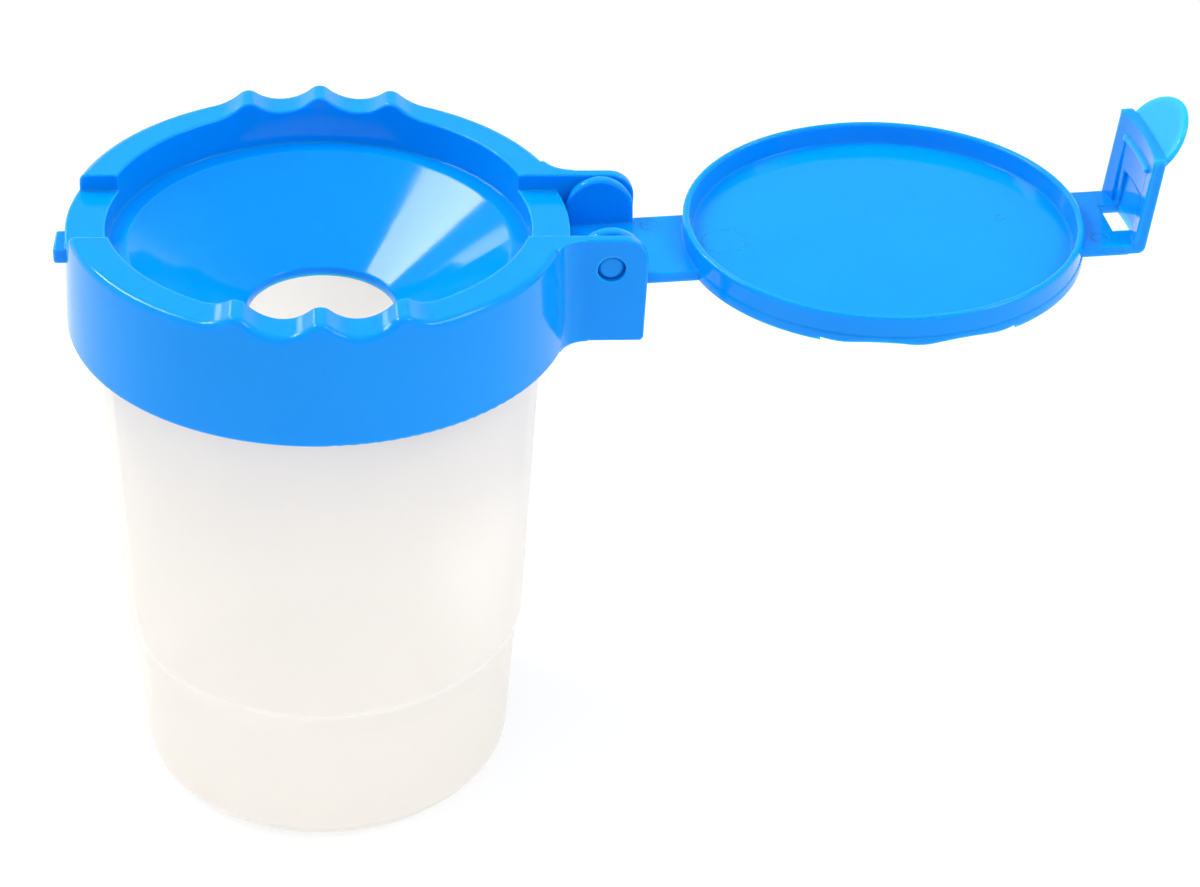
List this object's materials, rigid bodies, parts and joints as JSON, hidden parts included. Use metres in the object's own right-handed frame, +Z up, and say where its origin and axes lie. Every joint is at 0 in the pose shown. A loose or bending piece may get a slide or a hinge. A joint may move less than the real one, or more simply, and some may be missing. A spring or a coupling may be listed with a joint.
{
  "type": "lidded brush washer",
  "caption": "Translucent cup with a press-on collar, funnel, scalloped brush rests and a hinged snap-shut lid.",
  "frame": {"origin": "centre of the cup's flat underside", "axes": "+Z up along the cup's axis, +X from the cup's axis towards the lid hinge, +Y away from the viewer of the picture"},
  "size_m": [0.1823, 0.082, 0.1266],
  "materials": {
    "cup_polypropylene": "natural translucent polypropylene, satin moulded",
    "blue_polypropylene": "bright blue polypropylene, glossy moulded"
  },
  "bodies": {
    "cup": {"cup": "cup_polypropylene"},
    "collar": {"collar": "blue_polypropylene"},
    "lid": {"lid": "blue_polypropylene"},
    "latch": {"latch": "blue_polypropylene"}
  },
  "joints": [
    {"name": "collar_lift", "type": "slide", "parent": "cup", "child": "collar", "axis": [0, 0, 1], "range_m": [0, 0.022]},
    {"name": "lid_hinge", "type": "hinge", "parent": "collar", "child": "lid", "pos_m": [0.04605, 0, 0.1026], "axis": [0, -1, 0], "range_deg": [0, 176.4]},
    {"name": "latch_flex", "type": "hinge", "parent": "lid", "child": "latch", "pos_m": [0.13195, 0, 0.1045], "axis": [0, 1, 0], "range_deg": [0, 10], "stiffness_Nm_per_rad": 0.05}
  ]
}
